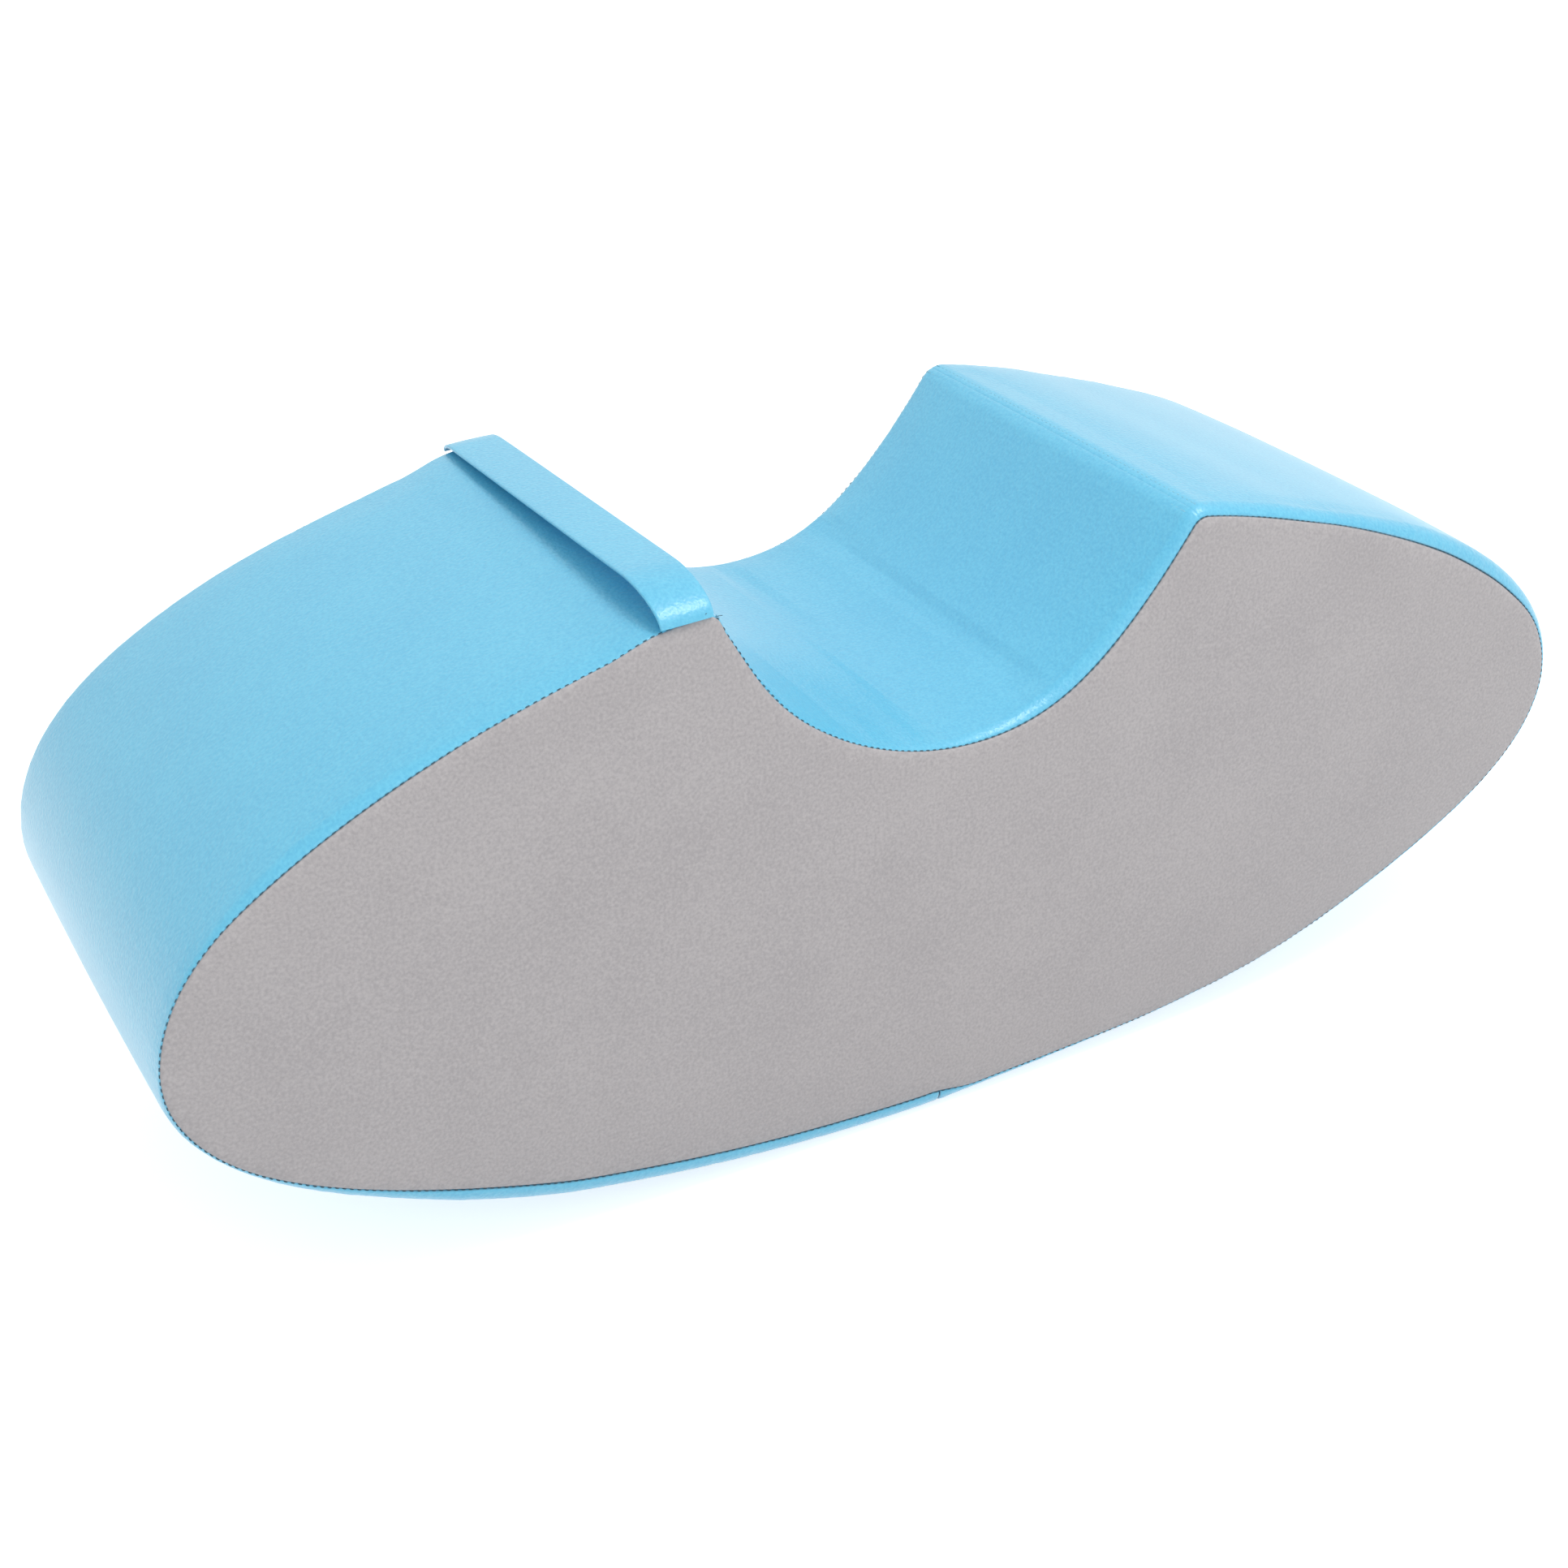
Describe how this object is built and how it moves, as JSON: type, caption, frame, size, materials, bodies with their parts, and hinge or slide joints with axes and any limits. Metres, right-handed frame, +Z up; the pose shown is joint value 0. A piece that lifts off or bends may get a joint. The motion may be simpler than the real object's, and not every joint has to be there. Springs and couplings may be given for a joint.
{
  "type": "foam rocker",
  "caption": "Boat-shaped foam rocker with a round seat hollow between two horns, a rounded base to rock on, a carrying strap and a zipped leatherette cover.",
  "frame": {"origin": "on the floor under the middle of the rocker: the centre of the box's bottom face, in the flat that the base rests on", "axes": "+X along the rocker towards the horn without the strap, +Y across it towards the side with the zip, +Z up"},
  "size_m": [0.98, 0.3, 0.3967],
  "materials": {
    "blue_leatherette": "fine-grained coated fabric, low sheen",
    "grey_leatherette": "fine-grained coated fabric, low sheen",
    "foam": "cut open-cell foam",
    "zip_tape": "woven tape",
    "zip_teeth": "moulded",
    "zip_metal": "die-cast, satin plating"
  },
  "bodies": {
    "root": {"foam_core": "foam", "side_panel_front": "grey_leatherette", "side_panel_rear": "grey_leatherette", "horn_panel_left": "blue_leatherette", "horn_panel_right": "blue_leatherette", "seat_panel": "blue_leatherette", "carry_strap": "blue_leatherette", "zip_tape_upper": "zip_tape", "zip_tape_lower": "zip_tape", "zip_teeth_upper": "zip_teeth", "zip_teeth_lower": "zip_teeth", "zip_top_stop_upper": "zip_metal", "zip_top_stop_lower": "zip_metal", "zip_bottom_stop": "zip_metal"},
    "slider": {"zip_slider": "zip_metal"},
    "pull": {"zip_pull": "zip_metal"}
  },
  "joints": [
    {"name": "zip_travel", "type": "hinge", "parent": "root", "child": "slider", "pos_m": [0, 0.145, 1.2345], "axis": [0, -1, 0], "range_deg": [0, 20.4], "deforming": ["zip_teeth_upper", "zip_teeth_lower"]},
    {"name": "zip_pull_swing", "type": "hinge", "parent": "slider", "child": "pull", "pos_m": [-0.21783, 0.1482, 0.0339], "axis": [0.1785, 0, 0.9839], "range_deg": [0, 170]}
  ]
}
